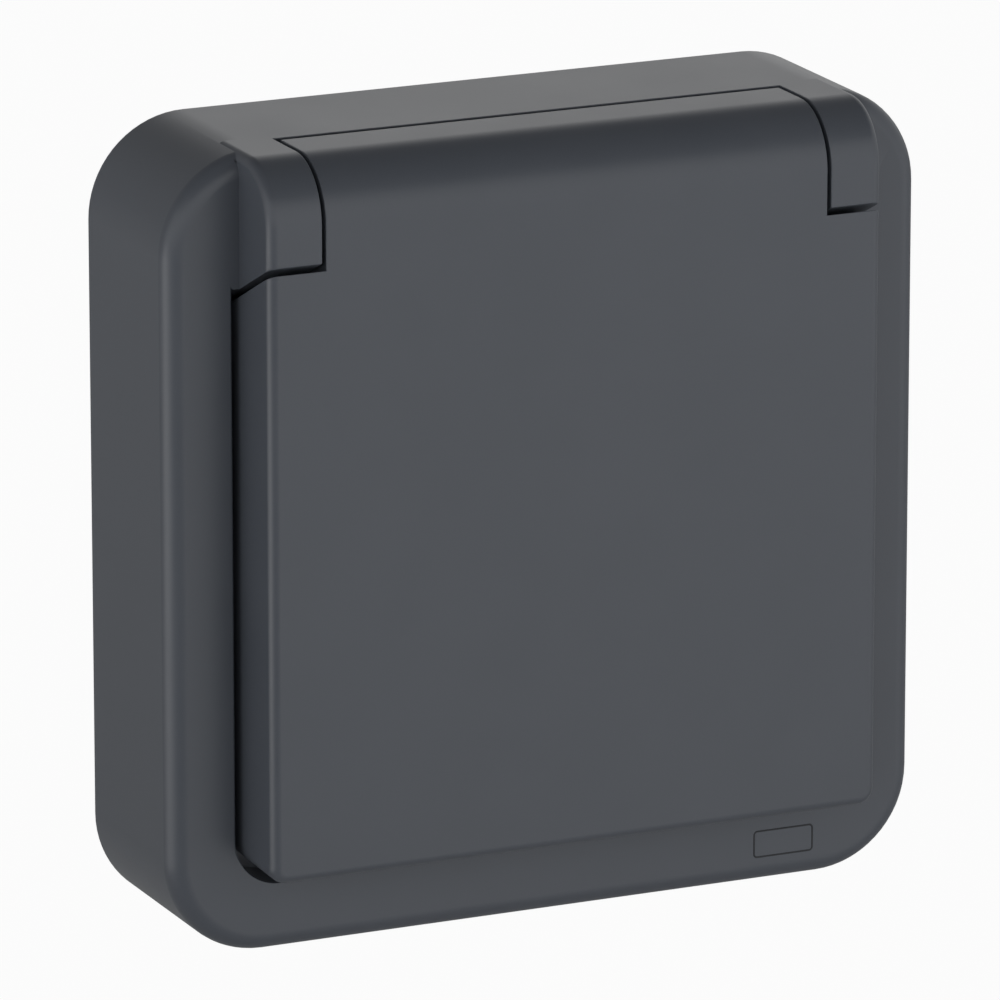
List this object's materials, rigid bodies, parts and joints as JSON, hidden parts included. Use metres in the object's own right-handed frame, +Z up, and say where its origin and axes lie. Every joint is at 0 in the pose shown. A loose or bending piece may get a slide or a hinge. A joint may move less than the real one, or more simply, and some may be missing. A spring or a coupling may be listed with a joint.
{
  "type": "outdoor weatherproof socket",
  "caption": "Flush wall socket with a square weatherproof hood, a spring-closed hinged lid over a round two-pole dish with side earth clips, and the insert that sits in the wall box.",
  "frame": {"origin": "centre of the hood's square back face, on the wall plane, which is also the centre of the fixing slots", "axes": "+Y into the wall, -Y into the room, +Z up, +X to the right seen from the room"},
  "size_m": [0.08, 0.0541, 0.08],
  "materials": {
    "hood_plastic": "satin",
    "dish_plastic": "satin",
    "base_plastic": "matt",
    "seal_rubber": "matt",
    "steel": "zinc plated",
    "spring_steel": "drawn wire",
    "contact_brass": "stamped"
  },
  "bodies": {
    "housing": {"housing_frame": "hood_plastic", "hinge_pin": "steel", "lid_spring": "spring_steel", "lid_seal": "seal_rubber", "wall_seal": "seal_rubber", "dish_seal": "seal_rubber", "socket_dish": "dish_plastic", "centre_screw": "steel", "shutter_spring": "spring_steel", "socket_base": "base_plastic", "base_cover": "base_plastic", "line_contact": "contact_brass", "neutral_contact": "contact_brass", "earth_strap": "contact_brass", "terminal_clamps": "contact_brass", "terminal_screws": "steel", "support_ring": "steel", "ring_rivets": "steel"},
    "lid": {"lid": "hood_plastic"},
    "shutter": {"shutter": "dish_plastic"}
  },
  "joints": [
    {"name": "lid_hinge", "type": "hinge", "parent": "housing", "child": "lid", "pos_m": [0, -0.0214, 0.036], "axis": [-1, 0, 0], "range_deg": [0, 110], "stiffness_Nm_per_rad": 0.012, "springref_deg": -57.3, "deforming": ["lid_spring"]},
    {"name": "shutter_slide", "type": "slide", "parent": "housing", "child": "shutter", "axis": [0, 0, -1], "range_m": [0, 0.0062], "stiffness_N_per_m": 100, "springref_m": -0.003, "deforming": ["shutter_spring"]}
  ]
}
